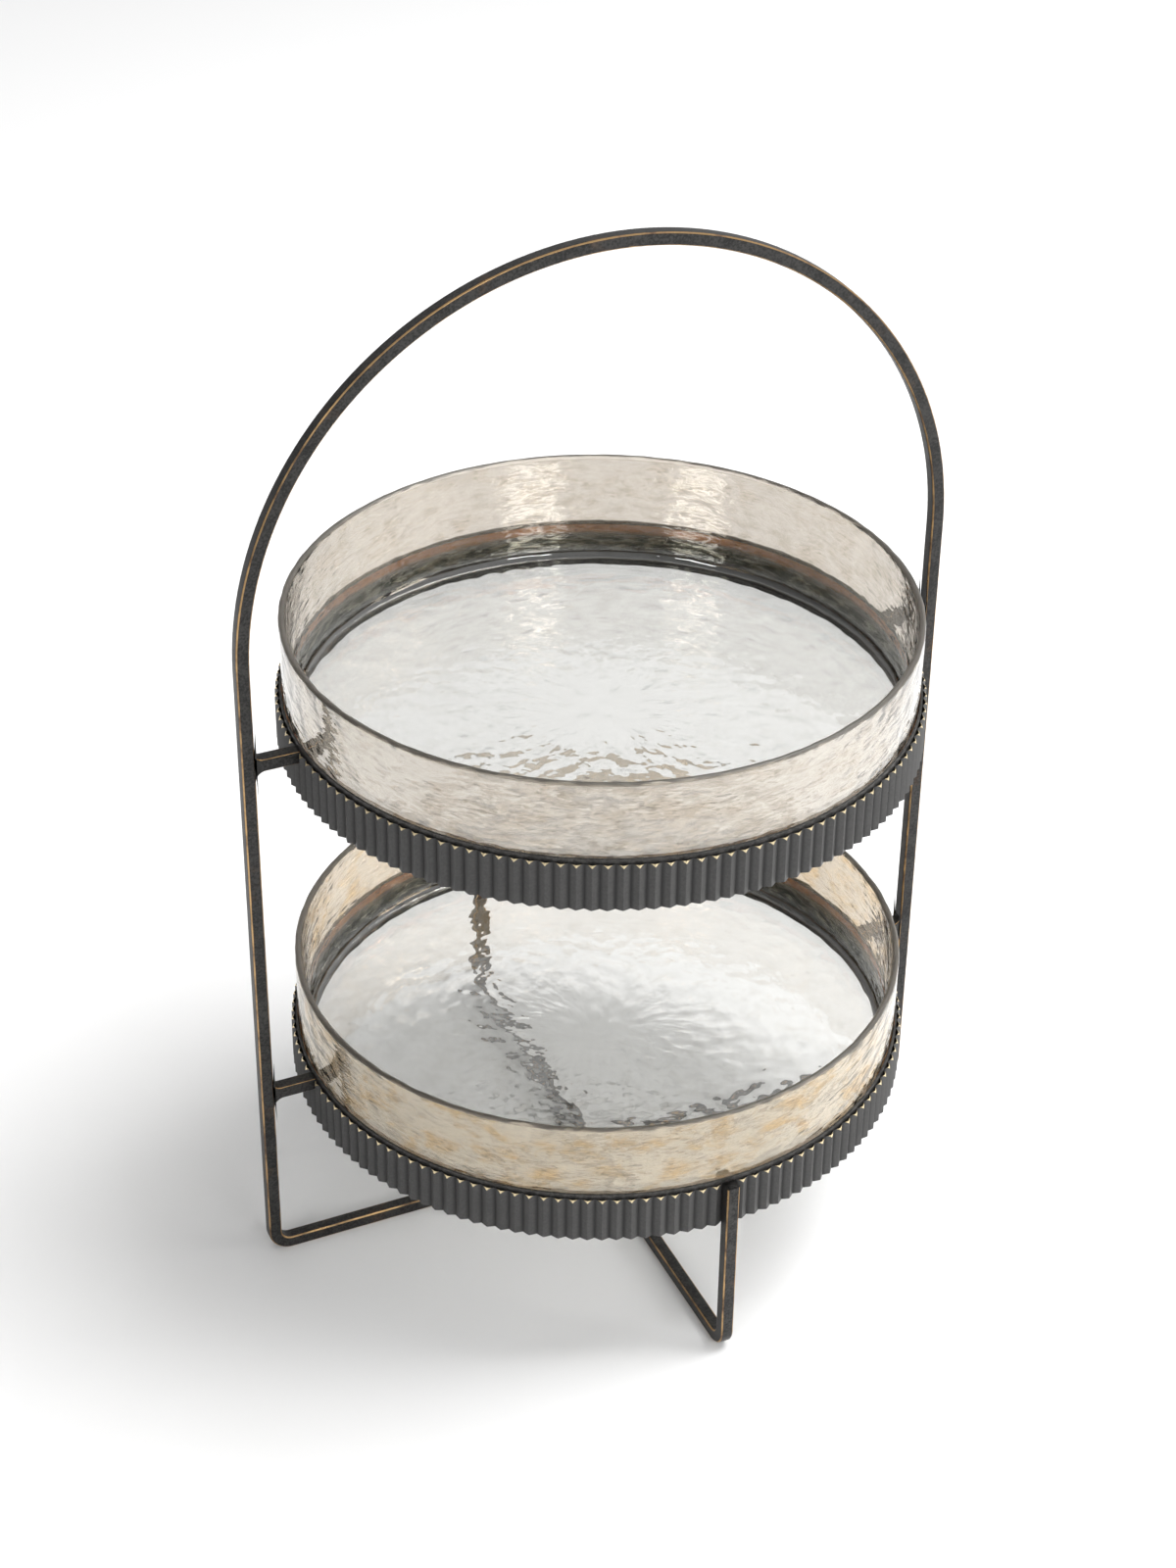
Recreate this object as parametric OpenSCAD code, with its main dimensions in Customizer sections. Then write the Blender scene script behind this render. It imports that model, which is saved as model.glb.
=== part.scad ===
// Two-tier cake stand.
// One square bar is bent into a closed loop: an arch handle, two uprights and a rail along the
// floor. A leg at the front and one at the back make the base a cross. Four short connectors
// hold a thin hoop at each tier. A fluted band wraps each hoop, a ledge lies inside its lower
// edge, and a round glass tray drops in and can be lifted out again.
// Z is up, the stand rests on z = 0, and the loop lies in the XZ plane.

/* [Square bar] */
// Side of the square bar that the frame is bent from
bar = 6; // [4:0.5:10]
// Outside radius of the bend at each foot
foot_bend_r = 11; // [10:0.5:20]

/* [Glass trays] */
// Outside diameter of a tray at its rim
tray_d = 278; // [200:1:360]
// Height of a tray from its base to its rim
tray_h = 57.5; // [40:0.5:90]
// Thickness of the glass wall
glass_wall = 3.2; // [2.4:0.1:5]
// Thickness of the glass floor
glass_floor = 4.5; // [3:0.1:7]
// How much further out the rim stands than the base
glass_flare = 0.6; // [0.2:0.1:3]
// Outside radius where the wall turns into the floor
heel_r = 2.5; // [2:0.5:6]
// Inside radius where the wall turns into the floor
cove_r = 4; // [2:0.5:8]

/* [Tier rings] */
// Free space all round between a tray and its hoop
tray_gap = 0.4; // [0.3:0.1:1.5]
// Thickness of the hoop's flat strip
hoop_t = 0.9; // [0.6:0.1:3]
// Height of a hoop
hoop_h = 24; // [18:0.5:36]
// Width of the ring on which the flat of the tray bears
seat_w = 1.5; // [1:0.5:10]
// Thickness of the ledge that the tray stands on
ledge_t = 2; // [1:0.5:4]
// Height of the fluted band
band_h = 22; // [14:0.5:34]
// Thickness of the fluted strip
band_t = 0.5; // [0.5:0.1:2]
// Depth of a flute, from the valley to the crest
flute_depth = 1.5; // [0.8:0.1:2.5]
// Number of flutes round a band
flute_count = 140; // [60:2:180]

/* [Frame] */
// Height of the lower ring's underside above the floor
lower_ring_z = 73.5; // [50:0.5:140]
// Height from one tier to the next
tier_pitch = 176.5; // [140:0.5:260]
// Free length of each connector, from the hoop to the upright
connector_len = 20; // [8:0.5:50]
// Height of the straight upright above the upper hoop, where the arch begins
arch_rise = 41; // [10:0.5:120]
// Radius of the fillet above each connector
upper_fillet_r = 3.5; // [1:0.5:4]
// Radius of the fillet below each connector
lower_fillet_r = 4.5; // [1:0.5:7]
// Free space between the fluted strip and each bar that passes through it
slot_gap = 0.2; // [0.1:0.05:1]

/* [Hidden] */

$fn = 96;
BRONZE = [0.25, 0.24, 0.23];
DARK_BRONZE = [0.18, 0.17, 0.16];
LUSTRE_GLASS = [0.85, 0.80, 0.73, 0.45];
EPS = 0.01;              // overrun that keeps a cut's face clear of the solid's own face
ARC_STEPS = 8;           // straight steps in a quarter of a rounded glass edge
COPE = 0.3;              // how far a bar reaches into the hoop before it is cut to fit round it

// Trays
rim_r = tray_d / 2;
base_r = rim_r - glass_flare;
lip_r = glass_wall / 2;
// Outside radius of a tray at a height above its base
function tray_r(z) = base_r + glass_flare * z / tray_h;

// Rings, each dimension taken from the tray that drops in
hoop_in_r = tray_r(hoop_h - ledge_t) + tray_gap;
hoop_out_r = hoop_in_r + hoop_t;
ledge_in_r = base_r - heel_r - seat_w;
upper_ring_z = lower_ring_z + tier_pitch;

// Frame
upright_in = hoop_out_r + connector_len;
half_span = upright_in + bar;
bar_end = hoop_out_r - COPE;
leg_out = bar_end + bar;
leg_top = lower_ring_z + band_h;
arch_z = upper_ring_z + hoop_h + arch_rise;
slot_w = bar + 2 * slot_gap;

// ---- helpers -------------------------------------------------------------------------------

// Points of an arc about a centre, from one angle to another
function arc(centre, r, from, to) =
    [for (i = [0 : ARC_STEPS])
        let (a = from + (to - from) * i / ARC_STEPS)
        [centre[0] + r * cos(a), centre[1] + r * sin(a)]];

// Outline of the closed loop, drawn in from its outside by an inset
module loop_outline(inset) {
    half = half_span - inset;
    corner = foot_bend_r - inset;
    translate([0, arch_z]) circle(r = half);
    translate([-half, inset + corner]) square([2 * half, arch_z - inset - corner]);
    translate([corner - half, inset]) square([2 * (half - corner), arch_z - inset]);
    for (side = [-1, 1])
        translate([side * (half - corner), inset + corner]) circle(r = corner);
}

// Area under a leg's outer face, drawn in by an inset, with its foot corner rounded
module leg_outline(inset) {
    out = leg_out - inset;
    corner = foot_bend_r - inset;
    translate([0, inset + corner]) square([out, leg_top - corner]);
    translate([0, inset]) square([out - corner, leg_top]);
    translate([out - corner, inset + corner]) circle(r = corner);
}

// One leg that stands on the -Y side: an upright, the foot bend and half of the cross rail
module leg() {
    difference() {
        rotate([90, 0, -90]) translate([0, 0, -bar / 2]) linear_extrude(bar) {
            intersection() {
                difference() {
                    leg_outline(0);
                    leg_outline(bar);
                }
                translate([bar / 2, 0]) square([leg_out, leg_top]);
            }
        }
        translate([0, 0, lower_ring_z - EPS]) cylinder(r = hoop_out_r, h = hoop_h);
    }
}

// One connector on the +X side, with its top level with the top of the band
module connector(ring_z) {
    top = ring_z + band_h;
    difference() {
        rotate([90, 0, 0]) translate([0, 0, -bar / 2]) linear_extrude(bar) {
            translate([bar_end, top - bar]) square([upright_in - bar_end, bar]);
            fillet_outline(upright_in, top, upper_fillet_r, 1);
            fillet_outline(upright_in, top - bar, lower_fillet_r, -1);
        }
        translate([0, 0, ring_z - bar]) cylinder(r = hoop_out_r, h = hoop_h + 2 * bar);
    }
}

// Outline of the fillet in the corner between an upright and a connector
module fillet_outline(x, z, r, up) {
    difference() {
        translate([x - r, up > 0 ? z : z - r]) square(r);
        translate([x - r, z + up * r]) circle(r = r);
    }
}

// Thin-walled ring between two radii
module ring(inner, outer, height) {
    difference() {
        cylinder(r = outer, h = height);
        translate([0, 0, -EPS]) cylinder(r = inner, h = height + 2 * EPS);
    }
}

// Outline of the fluted strip's one side: a zigzag round the hoop
function zigzag(valley_r) =
    [for (i = [0 : 2 * flute_count - 1])
        let (a = 180 * i / flute_count, r = valley_r + flute_depth * (i % 2))
        [r * cos(a), r * sin(a)]];

// A whole fluted band, notched at the top where the two connectors pass through it
module fluted_band() {
    difference() {
        linear_extrude(band_h) difference() {
            polygon(zigzag(hoop_out_r + band_t));
            polygon(zigzag(hoop_out_r));
        }
        translate([-half_span, -slot_w / 2, band_h - bar - slot_gap])
            cube([2 * half_span, slot_w, bar + 2 * slot_gap]);
    }
}

// Half of the lower band, which ends at the front leg and at the back leg
module half_band(side) {
    intersection() {
        fluted_band();
        translate([side > 0 ? slot_w / 2 : -slot_w / 2 - half_span, -half_span, -EPS])
            cube([half_span, 2 * half_span, band_h + 2 * EPS]);
    }
}

// Section of a glass tray, from its axis out to the rim
module tray_section() {
    inner_r = base_r - glass_wall;
    polygon(concat(
        [[0, 0]],
        arc([base_r - heel_r, heel_r], heel_r, -90, 0),
        arc([rim_r - lip_r, tray_h - lip_r], lip_r, 0, 180),
        arc([inner_r - cove_r, glass_floor + cove_r], cove_r, 0, -90),
        [[0, glass_floor]]
    ));
}

module glass_tray() {
    translate([0, 0, ledge_t]) rotate_extrude() tray_section();
}

// ---- sub-parts -----------------------------------------------------------------------------

// Arch handle, both uprights and the floor rail, bent from one bar and closed by a weld
module arch_frame() {
    color(BRONZE) rotate([90, 0, 0]) translate([0, 0, -bar / 2]) linear_extrude(bar) difference() {
        loop_outline(0);
        loop_outline(bar);
    }
}

module front_leg() {
    color(BRONZE) leg();
}

module back_leg() {
    color(BRONZE) rotate([0, 0, 180]) leg();
}

module upper_left_connector() {
    color(BRONZE) rotate([0, 0, 180]) connector(upper_ring_z);
}

module upper_right_connector() {
    color(BRONZE) connector(upper_ring_z);
}

module lower_left_connector() {
    color(BRONZE) rotate([0, 0, 180]) connector(lower_ring_z);
}

module lower_right_connector() {
    color(BRONZE) connector(lower_ring_z);
}

module upper_hoop() {
    color(DARK_BRONZE) translate([0, 0, upper_ring_z]) ring(hoop_in_r, hoop_out_r, hoop_h);
}

module lower_hoop() {
    color(DARK_BRONZE) translate([0, 0, lower_ring_z]) ring(hoop_in_r, hoop_out_r, hoop_h);
}

module upper_ledge() {
    color(DARK_BRONZE) translate([0, 0, upper_ring_z]) ring(ledge_in_r, hoop_in_r, ledge_t);
}

module lower_ledge() {
    color(DARK_BRONZE) translate([0, 0, lower_ring_z]) ring(ledge_in_r, hoop_in_r, ledge_t);
}

module upper_band() {
    color(BRONZE) translate([0, 0, upper_ring_z]) fluted_band();
}

module lower_band_left() {
    color(BRONZE) translate([0, 0, lower_ring_z]) half_band(-1);
}

module lower_band_right() {
    color(BRONZE) translate([0, 0, lower_ring_z]) half_band(1);
}

module upper_tray() {
    color(LUSTRE_GLASS) translate([0, 0, upper_ring_z]) glass_tray();
}

module lower_tray() {
    color(LUSTRE_GLASS) translate([0, 0, lower_ring_z]) glass_tray();
}

arch_frame();
front_leg();
back_leg();
upper_left_connector();
upper_right_connector();
lower_left_connector();
lower_right_connector();
upper_hoop();
lower_hoop();
upper_ledge();
lower_ledge();
upper_band();
lower_band_left();
lower_band_right();
upper_tray();
lower_tray();
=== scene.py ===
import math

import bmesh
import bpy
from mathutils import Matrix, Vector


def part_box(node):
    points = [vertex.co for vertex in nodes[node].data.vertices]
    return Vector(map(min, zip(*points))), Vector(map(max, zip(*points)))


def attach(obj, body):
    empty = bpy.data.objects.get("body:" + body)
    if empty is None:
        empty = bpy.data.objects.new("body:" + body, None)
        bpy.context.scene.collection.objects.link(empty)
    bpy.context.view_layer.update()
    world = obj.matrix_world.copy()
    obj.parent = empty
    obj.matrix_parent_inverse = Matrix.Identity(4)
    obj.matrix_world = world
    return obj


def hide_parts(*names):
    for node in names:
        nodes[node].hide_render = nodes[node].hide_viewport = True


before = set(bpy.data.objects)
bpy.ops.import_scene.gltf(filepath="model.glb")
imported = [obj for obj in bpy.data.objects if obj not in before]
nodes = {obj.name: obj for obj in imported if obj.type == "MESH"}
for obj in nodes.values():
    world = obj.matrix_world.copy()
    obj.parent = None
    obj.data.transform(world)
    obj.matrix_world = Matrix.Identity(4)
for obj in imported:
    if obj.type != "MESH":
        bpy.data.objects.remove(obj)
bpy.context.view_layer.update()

# %% [markdown]
# # A two-tier cake stand with hammered glass trays
# The stand is one square bar bent into an arch, two legs, two thin hoops wrapped in a fluted
# strip, and two glass trays that lift out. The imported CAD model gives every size, so each piece
# is built straight in its place, in metres. The metal is dark bronze that has been rubbed
# through to brass wherever a hand or a cloth would reach, and the glass has a champagne lustre.

MM = 0.001
scene = bpy.context.scene

# %% [markdown]
# ## Sizes
# A piece that is remade has to lie exactly where its CAD node lies, so its sizes are read from
# that node's box. Only what a box can't tell, such as the radius of a bend or the thickness of
# the glass, is written here as a number.

# %% Sizes read from the frame
ARCH_LOW, ARCH_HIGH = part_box("arch_frame")
BAR = ARCH_HIGH.y - ARCH_LOW.y
HALF_SPAN = ARCH_HIGH.x
ARCH_Z = ARCH_HIGH.z - HALF_SPAN
LEG_OUT = -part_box("front_leg")[0].y
LEG_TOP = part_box("front_leg")[1].z
print(f"bar {BAR / MM:.1f} mm, arch centre {ARCH_Z / MM:.1f} mm up, leg top {LEG_TOP / MM:.1f} mm")

# %% Sizes that a box can't tell
FOOT_BEND = 11 * MM
EDGE_RADIUS = 1.0 * MM
CONNECTOR_EDGE = 0.6 * MM
GLASS_WALL = 3.2 * MM
GLASS_FLOOR = 4.5 * MM
GLASS_FLARE = 0.6 * MM
HEEL_R = 2.5 * MM
COVE_R = 4 * MM
FLUTES = 140
FLUTE_DEPTH = 1.5 * MM
STRIP = 0.5 * MM
VALLEY_PRESS = 0.2 * MM
FLUTE_ROUNDING = 1.1        # 1 leaves a sharp zigzag, and more rounds the crests
FILED_IN = 0.64 * MM
FILED_DOWN = 1.2 * MM
FILED_LIP = 0.05 * MM       # least height of the slanted face
FILED_LEAST = 0.08 * MM     # least thickness left at the top of a crest
SLOT_GAP = 0.2 * MM
DIMPLE_SIZE = 9 * MM
DIMPLE_DEPTH = 0.3 * MM
ARC_STEPS = 10
ARCH_STEPS = 96
TRAY_TURNS = 320
MERGE = 0.01 * MM           # points nearer than this are one point


# %% Reach of a ring from the middle of the stand
def reach(name):
    """Largest distance of a CAD node from the Z axis."""
    return max(math.hypot(v.co.x, v.co.y) for v in nodes[name].data.vertices)


HOOP_OUT = reach("upper_hoop")
CREST = reach("upper_band")
VALLEY = CREST - FLUTE_DEPTH - STRIP
print(f"hoop radius {HOOP_OUT / MM:.2f} mm, crest of the flutes {CREST / MM:.2f} mm")

# %% [markdown]
# ## Camera
# A camera is placed by the direction it looks from, the point it looks at and its distance. Its
# axes are worked out once and put in its matrix, which is steadier than a Track To constraint
# because a slight roll can be given as well.

# %% Camera
AZIMUTH, ELEVATION, ROLL = (math.radians(a) for a in (-24.51, 33.78, 0.73))
CAMERA_DISTANCE = 1.4082
LOOK_AT = Vector((-0.0056, 0, 0.2183))
LENS, SENSOR_WIDTH = 72.64, 36


def camera_axes(azimuth, elevation, roll):
    """Right, up and backward directions of a camera."""
    back = Vector((math.sin(azimuth) * math.cos(elevation),
                   -math.cos(azimuth) * math.cos(elevation), math.sin(elevation)))
    right = Vector((math.cos(azimuth), math.sin(azimuth), 0))
    up = back.cross(right)
    turned_right = math.cos(roll) * right + math.sin(roll) * up
    turned_up = -math.sin(roll) * right + math.cos(roll) * up
    return turned_right, turned_up, back


right, up, back = camera_axes(AZIMUTH, ELEVATION, ROLL)
camera = bpy.data.objects.new("camera", bpy.data.cameras.new("camera"))
camera.data.sensor_width = SENSOR_WIDTH
camera.data.lens = LENS
camera.matrix_world = Matrix.Translation(LOOK_AT + CAMERA_DISTANCE * back) @ Matrix(
    (right, up, back)).transposed().to_4x4()
scene.collection.objects.link(camera)
scene.camera = camera
print(f"camera at {tuple(round(x, 3) for x in camera.location)}, lens {camera.data.lens} mm")

# %% [markdown]
# ## Stage and light
# The floor is a plain white plane. A big softbox high on the right throws the shadow to the left,
# and a low one on the right lights the sides. Both are hidden from reflections, because a mirrored
# rectangle would spoil the glass. Two small softboxes in front may be reflected, and they make the
# bright marks inside the back wall of a tray. The world is white and brighter on the right, so the
# bars have a light and a dark side. Lights are aimed by their -Z axis.

# %% Floor
floor_mesh = bpy.data.meshes.new("floor")
FLOOR_SIDE = 12
FLOOR_DROP = 0.02 * MM
corners = [(x * FLOOR_SIDE / 2, y * FLOOR_SIDE / 2, -FLOOR_DROP)
           for x, y in ((-1, -1), (1, -1), (1, 1), (-1, 1))]
floor_mesh.from_pydata(corners, [], [(0, 1, 2, 3)])
floor = bpy.data.objects.new("floor", floor_mesh)
scene.collection.objects.link(floor)
paper = bpy.data.materials.new("white paper")
paper.use_nodes = True
paper_shader = paper.node_tree.nodes["Principled BSDF"]
paper_shader.inputs["Base Color"].default_value = (0.88, 0.88, 0.88, 1)
paper_shader.inputs["Roughness"].default_value = 0.9
paper_shader.inputs["Specular IOR Level"].default_value = 0.1
floor_mesh.materials.append(paper)


# %% Lights
def area_light(name, place, width, height, watts, aim=(0, 0, 0.2)):
    """A rectangular softbox at a place, turned towards a point."""
    data = bpy.data.lights.new(name, "AREA")
    data.shape = "RECTANGLE"
    data.size, data.size_y, data.energy = width, height, watts
    lamp = bpy.data.objects.new(name, data)
    lamp.location = place
    lamp.rotation_euler = (Vector(aim) - Vector(place)).to_track_quat("-Z", "Y").to_euler()
    scene.collection.objects.link(lamp)
    return lamp


key = area_light("key_softbox", (1.0, -0.1, 2.1), 1.4, 1.4, 57)
side_light = area_light("side_softbox", (1.75, -1.15, 0.6), 0.9, 0.6, 21)
for lamp in (key, side_light):
    lamp.visible_glossy = False
area_light("left_softbox", (-2.09, -1.18, 1.4), 0.8, 0.4, 7)
area_light("right_softbox", (0.08, -2.40, 1.4), 0.8, 0.4, 7)
world = bpy.data.worlds.new("studio")
world.use_nodes = True
scene.world = world
scene.view_settings.view_transform = "Standard"
print("four softboxes")

# %% [markdown]
# ## Helpers for node trees
# Geometry trees and shader trees are both built in the script. One small function adds a node,
# sets its properties, and either links each input or gives it a value, so that a tree reads
# from top to bottom like a recipe.


# %% Helpers for node trees
def add(tree, kind, inputs=None, **props):
    """A new node; each input is a number, a vector, or another node's output to link."""
    node = tree.nodes.new(kind)
    for name, value in props.items():
        setattr(node, name, value)
    for key, value in (inputs or {}).items():
        if isinstance(value, bpy.types.NodeSocket):
            tree.links.new(value, node.inputs[key])
        else:
            node.inputs[key].default_value = value
    return node


def calc(tree, operation, *values):
    """The result of a Math node."""
    node = "ShaderNodeMath"
    return add(tree, node, dict(enumerate(values)), operation=operation).outputs[0]


def ramp(tree, value, low, high, start=0.0, end=1.0):
    """A smooth step of a value from one limit to the other."""
    inputs = {"Value": value, "From Min": low, "From Max": high, "To Min": start, "To Max": end}
    return add(tree, "ShaderNodeMapRange", inputs, interpolation_type="SMOOTHSTEP").outputs[0]


def blend(tree, factor, first, second):
    """A mix of two colours."""
    inputs = {0: factor, 6: first, 7: second}
    return add(tree, "ShaderNodeMix", inputs, data_type="RGBA").outputs[2]


def new_group(kind, name, inputs, outputs):
    """An empty group with named sockets, given as (name, socket type, default)."""
    group = bpy.data.node_groups.new(name, kind)
    for socket, form, default in inputs:
        made = group.interface.new_socket(socket, in_out="INPUT", socket_type=form)
        if default is not None:
            made.default_value = default
    for socket, form in outputs:
        group.interface.new_socket(socket, in_out="OUTPUT", socket_type=form)
    source = group.nodes.new("NodeGroupInput").outputs
    sink = group.nodes.new("NodeGroupOutput").inputs
    return group, source, sink


# %% A white world that is brighter on the right
sky = world.node_tree
towards = add(sky, "ShaderNodeTexCoord").outputs["Generated"]
side = add(sky, "ShaderNodeVectorMath", {0: towards, 1: (0.95, -0.31, 0)}, operation="DOT_PRODUCT")
strength = add(sky, "ShaderNodeMapRange",
               {"Value": side.outputs["Value"], "From Min": -1.0, "To Min": 0.22, "To Max": 0.9})
backdrop = sky.nodes["Background"]
backdrop.inputs["Color"].default_value = (1, 1, 1, 1)
sky.links.new(strength.outputs[0], backdrop.inputs["Strength"])
print("a white world that fades to the left")

# %% [markdown]
# ## Effects that several finishes share
# Rubbed metal and cast grain turn up on every bar and strip, so each effect is a node group that
# is built once. A bar's edge is where its surface faces halfway between the plane that the bar
# was bent in and the side of it, so the wear follows every bend without a painted mask.

# %% Rubbed edges
rubbed, given, result = new_group(
    "ShaderNodeTree", "Rubbed edge",
    [("Plane Normal", "NodeSocketVector", (0, 1, 0)), ("Wear", "NodeSocketFloat", 0.5),
     ("Patch Size", "NodeSocketFloat", 0.012)],
    [("Mask", "NodeSocketFloat"), ("Halo", "NodeSocketFloat")])
facing = add(rubbed, "ShaderNodeNewGeometry").outputs["True Normal"]
across = add(rubbed, "ShaderNodeVectorMath", {0: facing, 1: given["Plane Normal"]},
             operation="DOT_PRODUCT").outputs["Value"]
squared = calc(rubbed, "MULTIPLY", across, across)
corner = calc(rubbed, "MULTIPLY", calc(rubbed, "SUBTRACT", 1.0, squared), squared)
place = add(rubbed, "ShaderNodeTexCoord").outputs["Object"]
patch_scale = calc(rubbed, "DIVIDE", 1.0, given["Patch Size"])
patches = add(rubbed, "ShaderNodeTexNoise",
              {"Vector": place, "Scale": patch_scale, "Detail": 4.0, "Roughness": 0.6}).outputs[0]
reached = calc(rubbed, "ADD", calc(rubbed, "MULTIPLY", corner, 2.4),
               calc(rubbed, "SUBTRACT", patches, 1.0))
worn = calc(rubbed, "ADD", reached, given["Wear"])
rubbed.links.new(ramp(rubbed, worn, 0.66, 0.98), result["Mask"])
rubbed.links.new(ramp(rubbed, worn, 0.42, 0.8, 0.0, 0.75), result["Halo"])
print("group:", rubbed.name)

# %% Cast grain
grain, given, result = new_group(
    "ShaderNodeTree", "Cast grain",
    [("Grain Size", "NodeSocketFloat", 0.0011), ("Blotch Size", "NodeSocketFloat", 0.009)],
    [("Tone", "NodeSocketFloat"), ("Height", "NodeSocketFloat")])
place = add(grain, "ShaderNodeTexCoord").outputs["Object"]
fine = add(grain, "ShaderNodeTexNoise",
           {"Vector": place, "Scale": calc(grain, "DIVIDE", 1.0, given["Grain Size"]),
            "Detail": 3.0, "Roughness": 0.55}).outputs[0]
broad = add(grain, "ShaderNodeTexNoise",
            {"Vector": place, "Scale": calc(grain, "DIVIDE", 1.0, given["Blotch Size"]),
             "Detail": 2.0}).outputs[0]
tone = calc(grain, "ADD", calc(grain, "MULTIPLY", fine, 0.7), calc(grain, "MULTIPLY", broad, 0.3))
grain.links.new(ramp(grain, tone, 0.3, 0.7), result["Tone"])
grain.links.new(fine, result["Height"])
print("group:", grain.name)

# %% [markdown]
# ## Finishes
# Dark bronze is a patina over metal. It is nearly black and only partly metallic, so it has a dull
# sheen and not a mirror's. Where it is rubbed through, the wear mask mixes in a warm, bright colour
# and makes the shader fully metallic. A painted mask would also do, but it would need a UV map, and
# this one follows the shape of each piece.

# %% Colours
BRONZE_DARK = (0.032, 0.031, 0.030, 1)
BRONZE_LIGHT = (0.080, 0.077, 0.073, 1)
# painted shade that darkens the valleys between the flutes
PAINTED_VALLEY_SHADE = (0.018, 0.018, 0.018, 1)
PATINA_METALLIC = 0.4
BAR_SHADES = ((0.014, 0.014, 0.0135, 1), (0.050, 0.048, 0.046, 1))
FLUTE_SHADES = ((0.045, 0.045, 0.045, 1), (0.090, 0.088, 0.086, 1))
BRASS = (0.54, 0.35, 0.17, 1)
BRASS_PALE = (0.86, 0.72, 0.46, 1)
COPPER = (0.74, 0.28, 0.06, 1)
UMBER = (0.17, 0.095, 0.05, 1)


def metal(name, mask=None, worn_colour=BRASS, bump=0.25, mottle=1.0, under=None,
          under_colour=UMBER, shades=(BRONZE_DARK, BRONZE_LIGHT), metallic=PATINA_METALLIC,
          shine=0.35):
    """A bronze material; mask(tree) tells where it is worn, and under(tree) where it takes a brown
    halo or painted valley shade.
    """
    material = bpy.data.materials.new(name)
    material.use_nodes = True
    tree = material.node_tree
    shader = tree.nodes["Principled BSDF"]
    cast = add(tree, "ShaderNodeGroup", node_tree=grain)
    tone = ramp(tree, cast.outputs["Tone"], 0.0, 1.0, 0.5 - mottle / 2, 0.5 + mottle / 2)
    colour = blend(tree, tone, *shades)
    gloss = ramp(tree, cast.outputs["Tone"], 0.0, 1.0, 0.36, 0.5)
    shader.inputs["Metallic"].default_value = metallic
    if under:
        colour = blend(tree, under(tree), colour, under_colour)
    if mask:
        worn = mask(tree)
        colour = blend(tree, worn, colour, worn_colour)
        gloss = calc(tree, "MULTIPLY", gloss, ramp(tree, worn, 0.0, 1.0, 1.0, 0.75))
        tree.links.new(ramp(tree, worn, 0.0, 1.0, metallic, 1.0), shader.inputs["Metallic"])
    bumped = add(tree, "ShaderNodeBump", {"Strength": bump, "Distance": 0.2 * MM,
                                          "Height": cast.outputs["Height"]})
    tree.links.new(colour, shader.inputs["Base Color"])
    tree.links.new(gloss, shader.inputs["Roughness"])
    tree.links.new(bumped.outputs["Normal"], shader.inputs["Normal"])
    shader.inputs["Specular IOR Level"].default_value = shine
    return material


def edge_mask(plane_normal, wear, output):
    """A wear mask, or the brown halo round it, for a bar that was bent in a plane."""
    def build(tree):
        worn_edge = add(tree, "ShaderNodeGroup", node_tree=rubbed)
        worn_edge.inputs["Plane Normal"].default_value = plane_normal
        worn_edge.inputs["Wear"].default_value = wear
        return worn_edge.outputs[output]
    return build


# %% Bars
arch_bronze = metal("arch bronze", edge_mask((0, 1, 0), 0.85, "Mask"),
                    under=edge_mask((0, 1, 0), 0.85, "Halo"), shades=BAR_SHADES)
leg_bronze = metal("leg bronze", edge_mask((1, 0, 0), 0.85, "Mask"),
                   under=edge_mask((1, 0, 0), 0.85, "Halo"), shades=BAR_SHADES)
print("bar finishes:", arch_bronze.name, leg_bronze.name)


# %% Where the strips are bare or dark
# Each pair is a distance at which an effect is absent and one at which it is full.
INNER_FACE = (0.7 * MM, 0.85 * MM)      # in from the outside of a hoop
LINE_BELOW = (7 * MM, 4.5 * MM)         # the copper line's lower edge, down from a hoop's top
LINE_ABOVE = (1.2 * MM, 2.0 * MM)       # its upper edge
FILED_CREST = (1.15 * MM, 0.9 * MM)     # in from the crests
FILED_HEIGHT = (3 * MM, 2.5 * MM)       # down from the top of a band
VALLEY_SHADE = (0.8 * MM, 1.7 * MM)     # in from the crests, where the valleys get painted shade


def radius_of(tree):
    """Distance from the Z axis, in metres."""
    place = add(tree, "ShaderNodeTexCoord").outputs["Object"]
    flat = add(tree, "ShaderNodeVectorMath", {0: place, 1: (1, 1, 0)}, operation="MULTIPLY")
    return add(tree, "ShaderNodeVectorMath", {0: flat.outputs[0]},
               operation="LENGTH").outputs["Value"]


def height_of(tree):
    """Height above the floor, in metres."""
    place = add(tree, "ShaderNodeTexCoord").outputs["Object"]
    return add(tree, "ShaderNodeSeparateXYZ", {0: place}).outputs["Z"]


def inside_hoop(top):
    """A bare copper line inside a hoop, a little below its top edge."""
    def build(tree):
        inner = ramp(tree, radius_of(tree), HOOP_OUT - INNER_FACE[0], HOOP_OUT - INNER_FACE[1])
        height = height_of(tree)
        line = calc(tree, "MULTIPLY",
                    ramp(tree, height, top - LINE_BELOW[0], top - LINE_BELOW[1]),
                    ramp(tree, height, top - LINE_ABOVE[0], top - LINE_ABOVE[1]))
        return calc(tree, "MULTIPLY", inner, line)
    return build


def top_of_flutes(top):
    """The filed upper end of every flute, which faces up or outwards and up."""
    def build(tree):
        up = add(tree, "ShaderNodeSeparateXYZ",
                 {0: add(tree, "ShaderNodeNewGeometry").outputs["True Normal"]}).outputs["Z"]
        crest = ramp(tree, radius_of(tree), CREST - FILED_CREST[0], CREST - FILED_CREST[1])
        filed = calc(tree, "MULTIPLY", ramp(tree, up, 0.1, 0.3), crest)
        return calc(tree, "MULTIPLY", filed,
                    ramp(tree, height_of(tree), top - FILED_HEIGHT[0], top - FILED_HEIGHT[1]))
    return build


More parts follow.
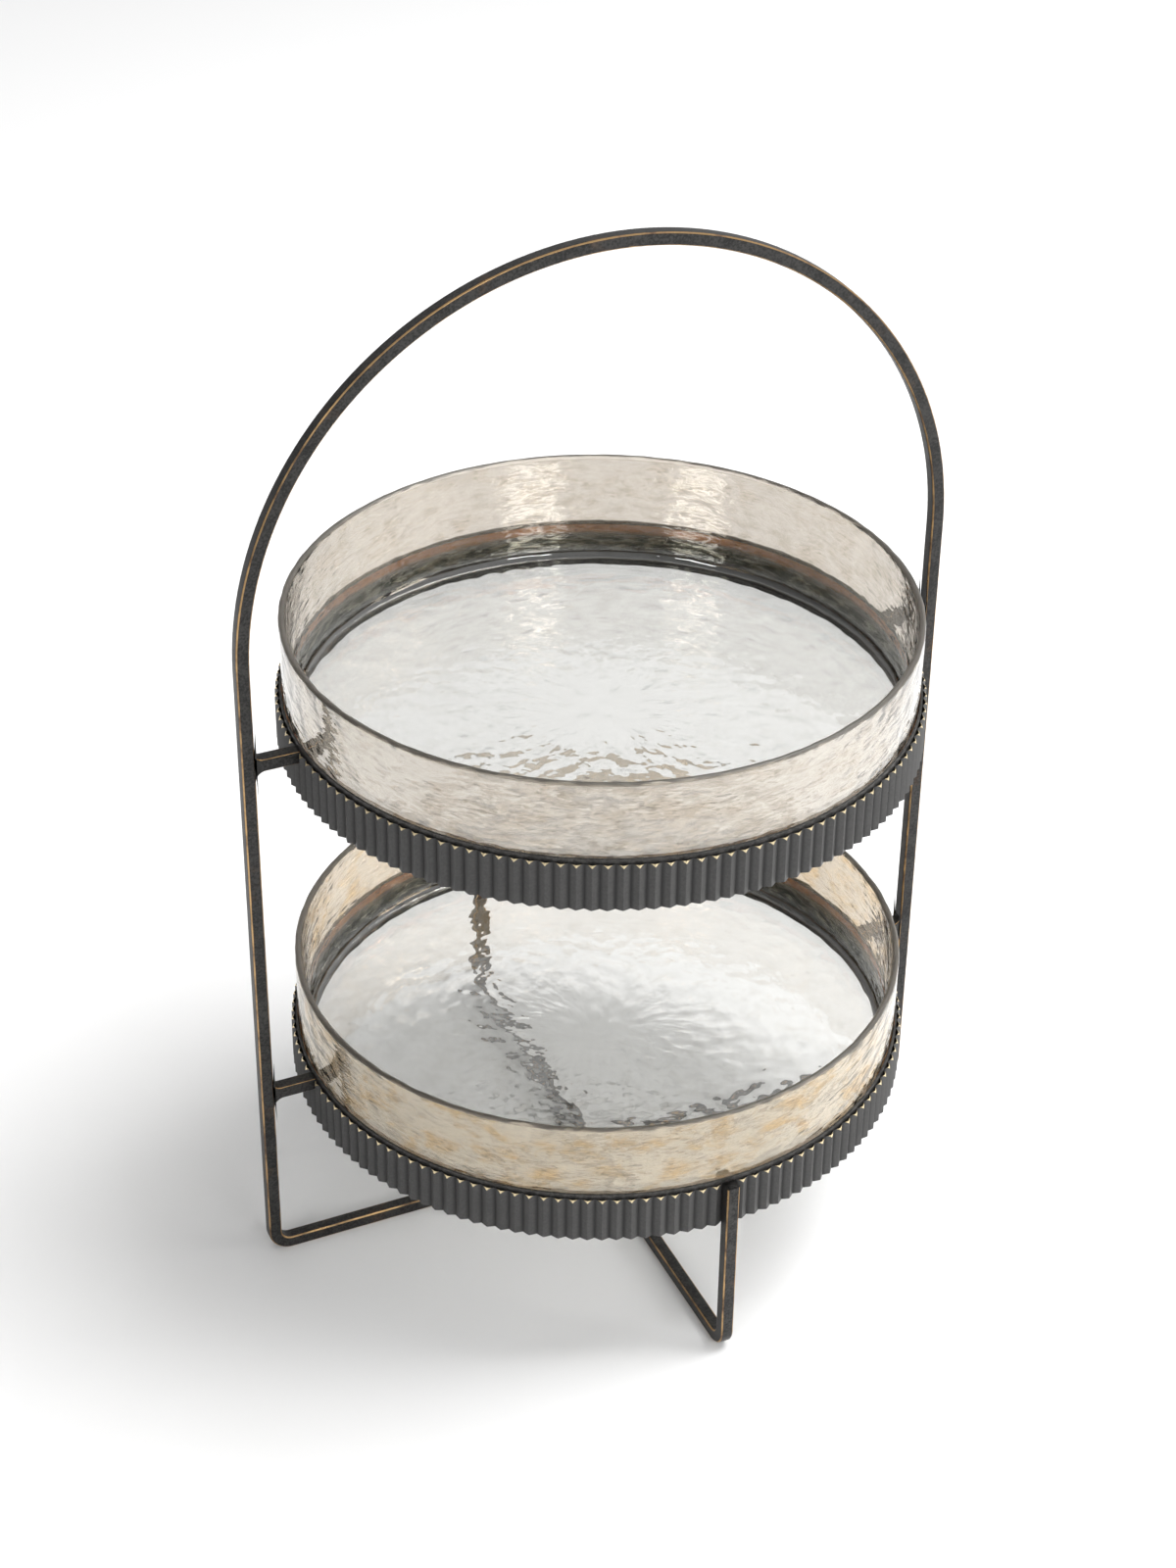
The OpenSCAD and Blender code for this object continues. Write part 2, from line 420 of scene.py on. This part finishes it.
hoop_bronze = {tier: metal(f"{tier} hoop bronze", inside_hoop(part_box(f"{tier}_hoop")[1].z), COPPER)
               for tier in ("upper", "lower")}
ledge_bronze = metal("ledge bronze")


def valleys(tree):
    """Painted shade in the valleys between the flutes, darkest at the bottom of each valley."""
    return ramp(tree, radius_of(tree), CREST - VALLEY_SHADE[0], CREST - VALLEY_SHADE[1], 0.0, 0.65)


# The valleys of the flutes are darkened with painted shade.
flute_bronze = {tier: metal(f"{tier} flute bronze", top_of_flutes(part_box(band)[1].z), BRASS_PALE,
                            bump=0.08, mottle=0.35, under=valleys, under_colour=PAINTED_VALLEY_SHADE,
                            shades=FLUTE_SHADES, metallic=0.15, shine=0.2)
                for tier, band in (("upper", "upper_band"), ("lower", "lower_band_left"))}
print("strip finishes:", len(hoop_bronze), ledge_bronze.name, len(flute_bronze))


# %% [markdown]
# ## The glass
# A tray is one closed thickness of real glass, so light bends twice on its way through a wall. The
# champagne lustre on it is a thin metal film, and making the shader a little metallic gives both its
# tint and its sheen. A skin of its own would be nearer to the real film, but it would double the
# surfaces that light has to cross. The small waves are longer round the tray than across it, the
# stains gather in clouds, and the rim is a little rough, which makes it read as a soft grey line.

# %% Wavelets in the glass
ripple, given, result = new_group(
    "ShaderNodeTree", "Glass wavelets",
    [("Around", "NodeSocketFloat", 0.008), ("Across", "NodeSocketFloat", 0.003)],
    [("Height", "NodeSocketFloat")])
place = add(ripple, "ShaderNodeTexCoord").outputs["Object"]
flat = add(ripple, "ShaderNodeVectorMath", {0: place, 1: (1, 1, 0)}, operation="MULTIPLY")
length = add(ripple, "ShaderNodeVectorMath", {0: flat.outputs[0]}, operation="LENGTH")
heading = add(ripple, "ShaderNodeVectorMath", {0: flat.outputs[0]}, operation="NORMALIZE")
circled = add(ripple, "ShaderNodeVectorMath",
              {0: heading.outputs[0], "Scale": calc(ripple, "DIVIDE", HOOP_OUT, given["Around"])},
              operation="SCALE")
level = add(ripple, "ShaderNodeSeparateXYZ", {0: place}).outputs["Z"]
run = calc(ripple, "DIVIDE", calc(ripple, "ADD", length.outputs["Value"], level), given["Across"])
lifted = add(ripple, "ShaderNodeCombineXYZ", {"Z": run})
where = add(ripple, "ShaderNodeVectorMath", {0: circled.outputs[0], 1: lifted.outputs[0]})
waves = add(ripple, "ShaderNodeTexNoise", {"Vector": where.outputs[0], "Scale": 1.0, "Detail": 1.0})
away = ramp(ripple, length.outputs["Value"], 8 * MM, 40 * MM)
ripple.links.new(calc(ripple, "MULTIPLY", waves.outputs[0], away), result["Height"])
print("group:", ripple.name)


# %% Stains in the lustre
stain, given, result = new_group(
    "ShaderNodeTree", "Lustre stain",
    [("Stain Size", "NodeSocketFloat", 0.02), ("Amount", "NodeSocketFloat", 0.5)],
    [("Mask", "NodeSocketFloat"), ("Crackle", "NodeSocketFloat")])
place = add(stain, "ShaderNodeTexCoord").outputs["Object"]
tall = add(stain, "ShaderNodeVectorMath", {0: place, 1: (1, 1, 2.2)}, operation="MULTIPLY")
cloud = add(stain, "ShaderNodeTexNoise",
            {"Vector": tall.outputs[0], "Scale": calc(stain, "DIVIDE", 1.0, given["Stain Size"]),
             "Detail": 4.0, "Roughness": 0.65, "Distortion": 0.6}).outputs[0]
spread = calc(stain, "MULTIPLY", ramp(stain, cloud, 0.46, 0.66), given["Amount"])
stain.links.new(spread, result["Mask"])
veins = add(stain, "ShaderNodeTexNoise",
            {"Vector": tall.outputs[0], "Scale": 110.0, "Detail": 3.0, "Distortion": 0.8}).outputs[0]
dashed = add(stain, "ShaderNodeVectorMath", {0: place, 1: (1, 1, 4)}, operation="MULTIPLY")
dashes = add(stain, "ShaderNodeTexNoise",
             {"Vector": dashed.outputs[0], "Scale": 230.0, "Detail": 1.0}).outputs[0]
off_vein = calc(stain, "ABSOLUTE", calc(stain, "SUBTRACT", veins, 0.5))
in_patch = ramp(stain, cloud, 0.42, 0.6)
lines = calc(stain, "MAXIMUM", ramp(stain, off_vein, 0.0, 0.014, 0.5, 0.0),
             ramp(stain, dashes, 0.58, 0.68, 0.0, 0.6))
stain.links.new(calc(stain, "MULTIPLY", lines, in_patch), result["Crackle"])
print("group:", stain.name)


# %% Where the parts of a tray begin
# Each pair is a distance at which a part is absent and one at which it is full.
WALL_HEIGHT = (5 * MM, 12 * MM)         # up from a tray's base
WALL_RADIUS = (8 * MM, 5 * MM)          # in from the outside of the rim
OUTER_FACE = (2.4 * MM, 1.4 * MM)       # in from the outside of the rim
FOOT_HEIGHT = (17 * MM, 14 * MM)        # up from a tray's base, the top of the painted shade at the wall's foot
RIM_DROP = (1.5 * MM, 1.1 * MM)         # down from the top of the rim
GLASS_ROUGHNESS, RIM_ROUGHNESS = 0.03, 0.4
WAVE_HEIGHT = 0.35 * MM
RIM_GREY = (0.70, 0.63, 0.53, 1)
STREAK_OLIVE = (0.40, 0.37, 0.28, 1)
# painted shade for the foot of the inner wall inside the hoop, dark and paler in streaks
FOOT_SHADE_DARK = (0.13, 0.13, 0.10, 1)
FOOT_SHADE_PALE = (0.46, 0.44, 0.35, 1)


# %% Lustre glass
def lustre_glass(name, tray, wall_inside, wall_outside, floor_colour, stain_colour, stain_amount,
                 lustre):
    """Lustred glass: a tinted wall, a clearer floor, a grey line round the rim and painted shade at
    the foot of the inner wall.
    """
    low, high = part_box(tray)
    material = bpy.data.materials.new(name)
    material.use_nodes = True
    tree = material.node_tree
    shader = tree.nodes["Principled BSDF"]
    height, radius = height_of(tree), radius_of(tree)
    wall = calc(tree, "MULTIPLY",
                ramp(tree, height, low.z + WALL_HEIGHT[0], low.z + WALL_HEIGHT[1]),
                ramp(tree, radius, high.x - WALL_RADIUS[0], high.x - WALL_RADIUS[1]))
    outside = ramp(tree, radius, high.x - OUTER_FACE[0], high.x - OUTER_FACE[1])
    stained = add(tree, "ShaderNodeGroup", node_tree=stain)
    stained.inputs["Amount"].default_value = stain_amount
    wall_waves = add(tree, "ShaderNodeGroup", node_tree=ripple).outputs["Height"]
    wide_waves = add(tree, "ShaderNodeGroup", node_tree=ripple)
    wide_waves.inputs["Around"].default_value = 15 * MM
    wide_waves.inputs["Across"].default_value = 6 * MM
    wall_colour = blend(tree, outside, wall_inside, wall_outside)
    deep = calc(tree, "MULTIPLY", stained.outputs["Mask"], ramp(tree, outside, 0.0, 1.0, 0.35, 1.0))
    wall_colour = blend(tree, deep, wall_colour, stain_colour)
    streaks = calc(tree, "MAXIMUM", ramp(tree, wall_waves, 0.52, 0.72, 0.0, 0.3),
                   stained.outputs["Crackle"])
    wall_colour = blend(tree, streaks, wall_colour, STREAK_OLIVE)
    # Painted shade: the inner wall is darkened near its foot, inside the hoop, and streaked along
    # the wavelets.
    painted_foot_shade = calc(tree, "MULTIPLY",
                ramp(tree, height, low.z + FOOT_HEIGHT[0], low.z + FOOT_HEIGHT[1]),
                calc(tree, "SUBTRACT", 1.0, outside))
    wall_colour = blend(tree, painted_foot_shade, wall_colour,
                        blend(tree, ramp(tree, wall_waves, 0.4, 0.7), FOOT_SHADE_DARK, FOOT_SHADE_PALE))
    scales = ramp(tree, wide_waves.outputs["Height"], 0.5, 0.75, 0.0, 0.12)
    colour = blend(tree, wall, blend(tree, scales, floor_colour, STREAK_OLIVE), wall_colour)
    rim = ramp(tree, height, high.z - RIM_DROP[0], high.z - RIM_DROP[1])
    colour = blend(tree, rim, colour, RIM_GREY)
    relief = add(tree, "ShaderNodeMix", {0: wall, 2: wide_waves.outputs["Height"], 3: wall_waves})
    bumped = add(tree, "ShaderNodeBump", {"Strength": 1.0, "Distance": WAVE_HEIGHT,
                                          "Height": relief.outputs[0]})
    tree.links.new(colour, shader.inputs["Base Color"])
    tree.links.new(bumped.outputs["Normal"], shader.inputs["Normal"])
    roughness = ramp(tree, rim, 0.0, 1.0, GLASS_ROUGHNESS, RIM_ROUGHNESS)
    tree.links.new(roughness, shader.inputs["Roughness"])
    shader.inputs["IOR"].default_value = 1.5
    shader.inputs["Transmission Weight"].default_value = 1.0
    shader.inputs["Metallic"].default_value = lustre
    return material


upper_glass = lustre_glass(
    "upper lustre glass", "upper_tray", wall_inside=(0.52, 0.465, 0.405, 1),
    wall_outside=(0.97, 0.93, 0.87, 1), floor_colour=(0.80, 0.80, 0.78, 1),
    stain_colour=(0.72, 0.60, 0.47, 1), stain_amount=0.35, lustre=0.21)
# The lower tray's inner wall and floor are lighter than the upper tray's: painted light against the
# upper tray's shadow. Its amber tint and orange stains are its own.
lower_glass = lustre_glass(
    "lower lustre glass", "lower_tray", wall_inside=(0.60, 0.51, 0.42, 1),
    wall_outside=(0.95, 0.87, 0.72, 1), floor_colour=(0.90, 0.90, 0.88, 1),
    stain_colour=(0.88, 0.60, 0.27, 1), stain_amount=0.85, lustre=0.18)
print("glass:", upper_glass.name, lower_glass.name)


# %% [markdown]
# ## Turning a modifier into a mesh
# A Geometry Nodes modifier is set up on an object that holds only a path, a section or one
# flute. The evaluated result is copied to a plain mesh and the modifier is taken away, so what
# rides on the frame is an ordinary mesh at the origin.


# %% Helpers for pieces
def arc(centre, radius, start, end, steps=ARC_STEPS):
    """Points along an arc in a plane, from one angle in degrees to another."""
    angles = [math.radians(start + (end - start) * i / steps) for i in range(steps + 1)]
    return [(centre[0] + radius * math.cos(a), centre[1] + radius * math.sin(a)) for a in angles]


def line_object(name, points, closed=False):
    """An object that is only a line through points."""
    mesh = bpy.data.meshes.new(name)
    edges = [(i, i + 1) for i in range(len(points) - 1)]
    if closed:
        edges.append((len(points) - 1, 0))
    mesh.from_pydata(points, edges, [])
    made = bpy.data.objects.new(name, mesh)
    scene.collection.objects.link(made)
    return made


def grown(source, tree, values, smooth_faces=False):
    """Runs a Geometry Nodes tree on an object and keeps its result as a plain mesh."""
    modifier = source.modifiers.new(tree.name, "NODES")
    modifier.node_group = tree
    sockets = {s.name: s.identifier for s in tree.interface.items_tree if s.in_out == "INPUT"}
    for name, value in values.items():
        modifier[sockets[name]] = value
    if smooth_faces:
        source.modifiers.new("weights", "WEIGHTED_NORMAL")
    bpy.context.view_layer.update()
    depsgraph = bpy.context.evaluated_depsgraph_get()
    mesh = bpy.data.meshes.new_from_object(source.evaluated_get(depsgraph))
    source.modifiers.clear()
    source.data = mesh
    mesh.name = source.name
    print(f"{source.name}: {len(mesh.polygons)} faces")
    return source


def place_piece(piece, body, slot, *replaced):
    """Puts a finished piece on its body, in place of CAD nodes."""
    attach(piece, body)
    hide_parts(*replaced)


# %% [markdown]
# ## The bent bars
# The arch, the uprights and the floor rail are one square bar bent in a plane and welded shut,
# and each leg is a shorter piece of the same bar. A sweep makes all three: the path is the
# bar's centre line, the profile is a square with its corners rounded, and a fixed normal keeps
# the square from twisting. Bevelling a boxy mesh would also work, but its bends would kink.

# %% A tree that sweeps a bar along a path
sweep, given, result = new_group(
    "GeometryNodeTree", "Swept bar",
    [("Path", "NodeSocketGeometry", None), ("Side", "NodeSocketFloat", 0.006),
     ("Corner Radius", "NodeSocketFloat", 0.0005), ("Plane Normal", "NodeSocketVector", (0, 1, 0)),
     ("Finish", "NodeSocketMaterial", None)],
    [("Bar", "NodeSocketGeometry")])
path = add(sweep, "GeometryNodeMeshToCurve", {"Mesh": given["Path"]})
level = add(sweep, "GeometryNodeSetCurveNormal",
            {"Curve": path.outputs[0], "Normal": given["Plane Normal"]}, mode="FREE")
square = add(sweep, "GeometryNodeCurvePrimitiveQuadrilateral",
             {"Width": given["Side"], "Height": given["Side"]})
rounded = add(sweep, "GeometryNodeFilletCurve",
              {"Curve": square.outputs[0], "Count": 4, "Radius": given["Corner Radius"]},
              mode="POLY")
bar_mesh = add(sweep, "GeometryNodeCurveToMesh",
               {"Curve": level.outputs[0], "Profile Curve": rounded.outputs[0], "Fill Caps": True})
whole = add(sweep, "GeometryNodeRealizeInstances", {"Geometry": bar_mesh.outputs[0]})
smooth = add(sweep, "GeometryNodeSetShadeSmooth", {"Geometry": whole.outputs[0]})
finished = add(sweep, "GeometryNodeSetMaterial",
               {"Geometry": smooth.outputs[0], "Material": given["Finish"]})
sweep.links.new(finished.outputs[0], result["Bar"])
print("tree:", sweep.name)

# %% The arch, its uprights and the floor rail
CENTRE = HALF_SPAN - BAR / 2
BEND = FOOT_BEND - BAR / 2
foot_z = BAR / 2 + BEND
loop = (arc((0, ARCH_Z), CENTRE, 0, 180, ARCH_STEPS)
        + arc((-CENTRE + BEND, foot_z), BEND, 180, 270)
        + arc((CENTRE - BEND, foot_z), BEND, 270, 360))
arch = line_object("bent_arch", [(x, 0, z) for x, z in loop], closed=True)
grown(arch, sweep, {"Side": BAR, "Corner Radius": EDGE_RADIUS, "Plane Normal": (0, 1, 0),
                    "Finish": arch_bronze}, smooth_faces=True)
place_piece(arch, "stand", "bronzed_bar", "arch_frame")

# %% The two legs
leg_centre = LEG_OUT - BAR / 2
leg_path = ([(BAR / 2, BAR / 2)] + arc((leg_centre - BEND, foot_z), BEND, -90, 0)
            + [(leg_centre, LEG_TOP)])
for name, side in (("front_leg", -1), ("back_leg", 1)):
    leg = line_object("bent_" + name, [(0, side * y, z) for y, z in leg_path])
    grown(leg, sweep, {"Side": BAR, "Corner Radius": EDGE_RADIUS, "Plane Normal": (1, 0, 0),
                       "Finish": leg_bronze}, smooth_faces=True)
    place_piece(leg, "stand", "bronzed_bar", name)

# %% [markdown]
# ## Connectors
# A connector is a short bar with a fillet of weld where it meets the upright. Its CAD shape is
# right but razor sharp, so a copy is merged and its edges are rounded with a small bevel.


# %% Rounded copies of the connectors
def rounded_copy(node, width, material):
    """A copy of a CAD node with merged corners and bevelled edges."""
    mesh = nodes[node].data.copy()
    shape = bmesh.new()
    shape.from_mesh(mesh)
    bmesh.ops.remove_doubles(shape, verts=shape.verts, dist=MERGE)
    bmesh.ops.dissolve_limit(shape, angle_limit=math.radians(1), verts=shape.verts,
                             edges=shape.edges)
    sharp = [e for e in shape.edges if e.is_manifold and e.calc_face_angle() > math.radians(40)]
    bmesh.ops.bevel(shape, geom=sharp, offset=width, segments=3, profile=0.5, affect="EDGES")
    shape.to_mesh(mesh)
    shape.free()
    mesh.materials.clear()
    mesh.materials.append(material)
    made = bpy.data.objects.new("rounded_" + node, mesh)
    scene.collection.objects.link(made)
    return made


for tier in ("upper", "lower"):
    for hand in ("left", "right"):
        node = f"{tier}_{hand}_connector"
        connector = rounded_copy(node, CONNECTOR_EDGE, arch_bronze)
        place_piece(connector, "stand", "bronzed_bar", node)
        print(f"{connector.name}: {len(connector.data.polygons)} faces")

# %% [markdown]
# ## Hoops and ledges
# A hoop is a plain strip bent round and soldered, and the ledge inside it is a flat ring. Their
# CAD shapes are already right, so they stay and only get a finish in their material slots.

# %% Finish of the hoops and ledges
for tier in ("upper", "lower"):
    for part, material in (("hoop", hoop_bronze[tier]), ("ledge", ledge_bronze)):
        mesh = nodes[f"{tier}_{part}"].data
        mesh.materials.clear()
        mesh.materials.append(material)
print("hoops and ledges keep their CAD shape")

# %% [markdown]
# ## The fluted bands
# A band is a strip of sheet pressed into flutes and wrapped round the hoop. One flute is drawn,
# open at its sides, and Geometry Nodes turn copies of it round the Z axis. The copies meet at
# the valleys, so merging their edges makes one strip, and boxes cut it where bars pass through.
# The outer valleys are pressed a little deeper than the CAD strip's, which makes the strip thinner
# there, so that the flutes catch more light and shade without standing any further out.

# %% A tree that wraps flutes round a hoop
wrap, given, result = new_group(
    "GeometryNodeTree", "Wrapped flutes",
    [("Flute", "NodeSocketGeometry", None), ("Flute Count", "NodeSocketInt", 140),
     ("Notch Size", "NodeSocketVector", (1, 0.006, 0.006)),
     ("Notch Centre", "NodeSocketVector", (0, 0, 0)), ("Halved", "NodeSocketBool", False),
     ("Cut Size", "NodeSocketVector", (1, 1, 1)), ("Cut Centre", "NodeSocketVector", (0, 0, 0)),
     ("Finish", "NodeSocketMaterial", None)],
    [("Band", "NodeSocketGeometry")])
points = add(wrap, "GeometryNodePoints", {"Count": given["Flute Count"]})
index = add(wrap, "GeometryNodeInputIndex").outputs[0]
step = calc(wrap, "DIVIDE", 2 * math.pi, given["Flute Count"])
turn = add(wrap, "ShaderNodeCombineXYZ", {"Z": calc(wrap, "MULTIPLY", index, step)})
rotation = add(wrap, "FunctionNodeEulerToRotation", {0: turn.outputs[0]})
copies = add(wrap, "GeometryNodeInstanceOnPoints",
             {"Points": points.outputs[0], "Instance": given["Flute"],
              "Rotation": rotation.outputs[0]})
real = add(wrap, "GeometryNodeRealizeInstances", {"Geometry": copies.outputs[0]})
merged = add(wrap, "GeometryNodeMergeByDistance",
             {"Geometry": real.outputs[0], "Distance": MERGE})


def cutter(size, centre):
    """A box of a given size and place in the band's tree."""
    block = add(wrap, "GeometryNodeMeshCube", {"Size": size})
    return add(wrap, "GeometryNodeTransform",
               {"Geometry": block.outputs[0], "Translation": centre}).outputs[0]


notched = add(wrap, "GeometryNodeMeshBoolean",
              {0: merged.outputs[0], 1: cutter(given["Notch Size"], given["Notch Centre"])},
              operation="DIFFERENCE", solver="EXACT")
half = add(wrap, "GeometryNodeMeshBoolean",
           {0: notched.outputs[0], 1: cutter(given["Cut Size"], given["Cut Centre"])},
           operation="DIFFERENCE", solver="EXACT")
chosen = add(wrap, "GeometryNodeSwitch",
             {"Switch": given["Halved"], "False": notched.outputs[0], "True": half.outputs[0]},
             input_type="GEOMETRY")
finished = add(wrap, "GeometryNodeSetMaterial",
               {"Geometry": chosen.outputs[0], "Material": given["Finish"]})
wrap.links.new(finished.outputs[0], result["Band"])
print("tree:", wrap.name)


# %% One flute
def flute_object(name, low, high):
    """One flute of the strip between two heights, open where the next flute joins it.

    The inner side has the CAD strip's depth and the outer side is pressed deeper in the valleys.
    A file has slanted the upper end of the crest, so each column's outer side turns inwards
    at its own height, and the slanted faces together make a triangle.
    """
    columns, half_step = 12, math.pi / FLUTES
    across = [2 * i / columns - 1 for i in range(columns + 1)]
    slope = [abs(t) ** FLUTE_ROUNDING for t in across]
    file_r = CREST - FILED_IN
    rings = {"outer low": [], "outer file": [], "outer top": [], "inner top": [], "inner low": []}
    for t, down in zip(across, slope):
        inner = VALLEY + FLUTE_DEPTH * (1 - down)
        outer = CREST - (FLUTE_DEPTH + VALLEY_PRESS) * down
        cut = max(outer - file_r, 0.0)
        filed = min(outer, max(file_r, inner + FILED_LEAST))
        bend = high - FILED_LIP - FILED_DOWN * cut / FILED_IN
        for ring, r, z in (("outer low", outer, low), ("outer file", outer, bend),
                           ("outer top", filed, high), ("inner top", inner, high),
                           ("inner low", inner, low)):
            rings[ring].append((r * math.cos(t * half_step), r * math.sin(t * half_step), z))
    order = list(rings)
    vertices = [point for ring in order for point in rings[ring]]
    width, faces = columns + 1, []
    for k in range(len(order)):
        for i in range(columns):
            a, b = k * width + i, (k + 1) % len(order) * width + i
            faces.append((a, a + 1, b + 1, b))
    mesh = bpy.data.meshes.new(name)
    mesh.from_pydata(vertices, [], faces)
    made = bpy.data.objects.new(name, mesh)
    scene.collection.objects.link(made)
    return made


# %% The three bands
WIDE = 4 * HALF_SPAN
SLOT = BAR + 2 * SLOT_GAP
for name, tier, side in (("upper_band", "upper", 0), ("lower_band_left", "lower", -1),
                         ("lower_band_right", "lower", 1)):
    low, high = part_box(name)
    depth = BAR + SLOT_GAP
    band = flute_object("wrapped_" + name, low.z, high.z)
    grown(band, wrap, {"Flute Count": FLUTES, "Notch Size": (WIDE, SLOT, 2 * depth),
                       "Notch Centre": (0, 0, high.z), "Halved": side != 0,
                       "Cut Size": (WIDE, WIDE, WIDE),
                       "Cut Centre": (side * (SLOT / 2 - WIDE / 2), 0, 0),
                       "Finish": flute_bronze[tier]})
    place_piece(band, "stand", "fluted_strip", name)

# %% [markdown]
# ## The glass trays
# A tray is blown or pressed in a mould and its surface is left hammered. Its section is drawn
# once and turned round the Z axis: a grid's columns become angles and its rows the points of
# the section. A texture then presses shallow dimples into the glass, always inwards, so the
# tray keeps its outside size. A lathe and a Displace modifier would do the same in two steps.

# %% A tree that turns a section and hammers it
lathe, given, result = new_group(
    "GeometryNodeTree", "Turned and hammered",
    [("Section", "NodeSocketGeometry", None), ("Turns", "NodeSocketInt", 300),
     ("Rows", "NodeSocketInt", 100), ("Dimple Size", "NodeSocketFloat", 0.009),
     ("Dimple Depth", "NodeSocketFloat", 0.0002), ("Base Height", "NodeSocketFloat", 0.0),
     ("Finish", "NodeSocketMaterial", None)],
    [("Tray", "NodeSocketGeometry")])
columns = calc(lathe, "ADD", given["Turns"], 1)
sheet = add(lathe, "GeometryNodeMeshGrid",
            {"Size X": 1.0, "Size Y": 1.0, "Vertices X": columns, "Vertices Y": given["Rows"]})
spot = add(lathe, "ShaderNodeSeparateXYZ", {0: add(lathe, "GeometryNodeInputPosition").outputs[0]})
angle = calc(lathe, "MULTIPLY", calc(lathe, "ADD", spot.outputs["X"], 0.5), 2 * math.pi)
last_row = calc(lathe, "SUBTRACT", given["Rows"], 1)
row = calc(lathe, "ROUND", calc(lathe, "MULTIPLY", calc(lathe, "ADD", spot.outputs["Y"], 0.5),
                                last_row))
drawn = add(lathe, "GeometryNodeSampleIndex",
            {0: given["Section"], 1: add(lathe, "GeometryNodeInputPosition").outputs[0],
             "Index": row}, data_type="FLOAT_VECTOR", domain="POINT")
section_point = add(lathe, "ShaderNodeSeparateXYZ", {0: drawn.outputs[0]})
out = section_point.outputs["X"]
turned_point = add(lathe, "ShaderNodeCombineXYZ",
                   {"X": calc(lathe, "MULTIPLY", out, calc(lathe, "COSINE", angle)),
                    "Y": calc(lathe, "MULTIPLY", out, calc(lathe, "SINE", angle)),
                    "Z": calc(lathe, "ADD", section_point.outputs["Z"], given["Base Height"])})
turned = add(lathe, "GeometryNodeSetPosition",
             {"Geometry": sheet.outputs[0], "Position": turned_point.outputs[0]})
closed = add(lathe, "GeometryNodeMergeByDistance",
             {"Geometry": turned.outputs[0], "Distance": MERGE})
dimples = add(lathe, "ShaderNodeTexVoronoi",
              {"Vector": add(lathe, "GeometryNodeInputPosition").outputs[0],
               "Scale": calc(lathe, "DIVIDE", 1.0, given["Dimple Size"]), "Smoothness": 0.4},
              feature="SMOOTH_F1")
hollow = ramp(lathe, dimples.outputs["Distance"], 0.0, 0.7, 1.0, 0.0)
press = calc(lathe, "MULTIPLY", calc(lathe, "MULTIPLY", hollow, given["Dimple Depth"]), -1.0)
pushed = add(lathe, "ShaderNodeVectorMath",
             {0: add(lathe, "GeometryNodeInputNormal").outputs[0], "Scale": press},
             operation="SCALE")
hammered = add(lathe, "GeometryNodeSetPosition",
               {"Geometry": closed.outputs[0], "Offset": pushed.outputs[0]})
whole = add(lathe, "GeometryNodeRealizeInstances", {"Geometry": hammered.outputs[0]})
smooth = add(lathe, "GeometryNodeSetShadeSmooth", {"Geometry": whole.outputs[0]})
finished = add(lathe, "GeometryNodeSetMaterial",
               {"Geometry": smooth.outputs[0], "Material": given["Finish"]})
lathe.links.new(finished.outputs[0], result["Tray"])
print("tree:", lathe.name)


# %% The section of a tray
def straight(start, end, step):
    """Points from one place up to, but not at, another, about a step apart."""
    count = max(1, round(math.dist(start, end) / step))
    return [(start[0] + (end[0] - start[0]) * i / count,
             start[1] + (end[1] - start[1]) * i / count) for i in range(count)]


def tray_section(rim_r, height, step):
    """Outline of the glass from the axis, round its underside and rim, and back to the axis."""
    base_r, lip = rim_r - GLASS_FLARE, GLASS_WALL / 2
    inner_r = base_r - GLASS_WALL
    heel = arc((base_r - HEEL_R, HEEL_R), HEEL_R, -90, 0, 6)
    rim = arc((rim_r - lip, height - lip), lip, 0, 180, 8)
    cove = arc((inner_r - COVE_R, GLASS_FLOOR + COVE_R), COVE_R, 0, -90, 6)
    return (straight((0, 0), heel[0], step) + heel[:-1] + straight(heel[-1], rim[0], step)
            + rim[:-1] + straight(rim[-1], cove[0], step) + cove[:-1]
            + straight(cove[-1], (0, GLASS_FLOOR), step) + [(0, GLASS_FLOOR)])


# %% The two trays
MESH_STEP = 2.4 * MM
for tier, material in (("upper", upper_glass), ("lower", lower_glass)):
    name = f"{tier}_tray"
    low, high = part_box(name)
    outline = tray_section(high.x, high.z - low.z, MESH_STEP)
    tray = line_object("hammered_" + name, [(r, 0, z) for r, z in outline])
    grown(tray, lathe, {"Turns": TRAY_TURNS, "Rows": len(outline), "Dimple Size": DIMPLE_SIZE,
                        "Dimple Depth": DIMPLE_DEPTH, "Base Height": low.z, "Finish": material})
    place_piece(tray, name, "lustre_glass", name)
